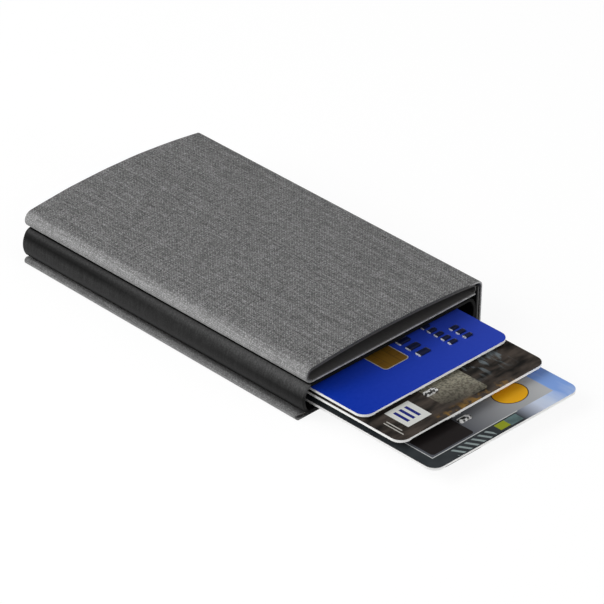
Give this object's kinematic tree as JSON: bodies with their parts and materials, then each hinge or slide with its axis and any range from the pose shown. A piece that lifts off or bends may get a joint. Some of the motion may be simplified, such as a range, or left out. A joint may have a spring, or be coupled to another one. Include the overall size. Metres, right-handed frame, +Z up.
{
  "type": "pop-up card wallet",
  "caption": "Flat metal card case in a folded cloth cover with a note pocket, its cards pushed out of the mouth like stairs by a thumb lever.",
  "frame": {"origin": "on the underside of the bottom panel, half way along the case and in the middle of the closed wallet's width", "axes": "+Z up from the table, -Y out of the mouth along the cards, +X towards the cover's spine"},
  "size_m": [0.0666, 0.1486, 0.0174],
  "materials": {
    "anodised_black": "matte black anodised",
    "cap_plastic": "matte",
    "felt": "short pile",
    "steel": "ground",
    "lever_plastic": "satin",
    "card_core": "white, smooth",
    "blue_film": "glossy print",
    "dark_film": "glossy print",
    "pale_film": "glossy print",
    "magnetic_tape": "smooth",
    "gold_contacts": "gold plated",
    "melange_cloth": "fine melange weave",
    "lining_cloth": "smooth lining",
    "lined_board": "lined board",
    "grey_board": "plain",
    "adhesive_foam": "plain"
  },
  "bodies": {
    "base": {"case_tube": "anodised_black", "rear_end_cap": "cap_plastic", "upper_felt_strip": "felt", "lower_felt_strip": "felt", "lever_pivot_pin": "steel", "bottom_textile": "melange_cloth", "bottom_board": "grey_board", "bottom_lining": "lining_cloth", "adhesive_pad": "adhesive_foam"},
    "spine": {"spine_textile": "melange_cloth", "spine_board": "lined_board"},
    "top_flap": {"top_textile": "melange_cloth", "pocket_sleeve": "lining_cloth"},
    "lever": {"eject_lever": "lever_plastic"},
    "upper_card": {"upper_card_core": "card_core", "upper_card_face": "blue_film", "upper_card_magnetic_stripe": "magnetic_tape", "upper_card_contact_plate": "gold_contacts"},
    "middle_card": {"middle_card_core": "card_core", "middle_card_face": "dark_film", "middle_card_magnetic_stripe": "magnetic_tape"},
    "lower_card": {"lower_card_core": "card_core", "lower_card_face": "pale_film", "lower_card_magnetic_stripe": "magnetic_tape"}
  },
  "joints": [
    {"name": "lever_turn", "type": "hinge", "parent": "base", "child": "lever", "pos_m": [0.0243, 0.0379, 0.0064], "axis": [0, 0, -1], "range_deg": [0, 50]},
    {"name": "upper_card_slide", "type": "slide", "parent": "base", "child": "upper_card", "axis": [0, 1, 0], "range_m": [0, 0.01892]},
    {"name": "middle_card_slide", "type": "slide", "parent": "base", "child": "middle_card", "axis": [0, 1, 0], "range_m": [0, 0.03171]},
    {"name": "lower_card_slide", "type": "slide", "parent": "base", "child": "lower_card", "axis": [0, 1, 0], "range_m": [0, 0.04364]},
    {"name": "spine_fold", "type": "hinge", "parent": "base", "child": "spine", "pos_m": [0.03263, 0, 0.00044], "axis": [0, 1, 0], "range_deg": [0, 90]},
    {"name": "flap_fold", "type": "hinge", "parent": "spine", "child": "top_flap", "pos_m": [0.03274, 0, 0.01422], "axis": [0, 1, 0], "range_deg": [0, 90]}
  ],
  "couplings": [
    {"joint": "upper_card_slide", "follows": "lever_turn", "m_per_rad": 0.02168},
    {"joint": "middle_card_slide", "follows": "lever_turn", "m_per_rad": 0.03633},
    {"joint": "lower_card_slide", "follows": "lever_turn", "m_per_rad": 0.05}
  ]
}
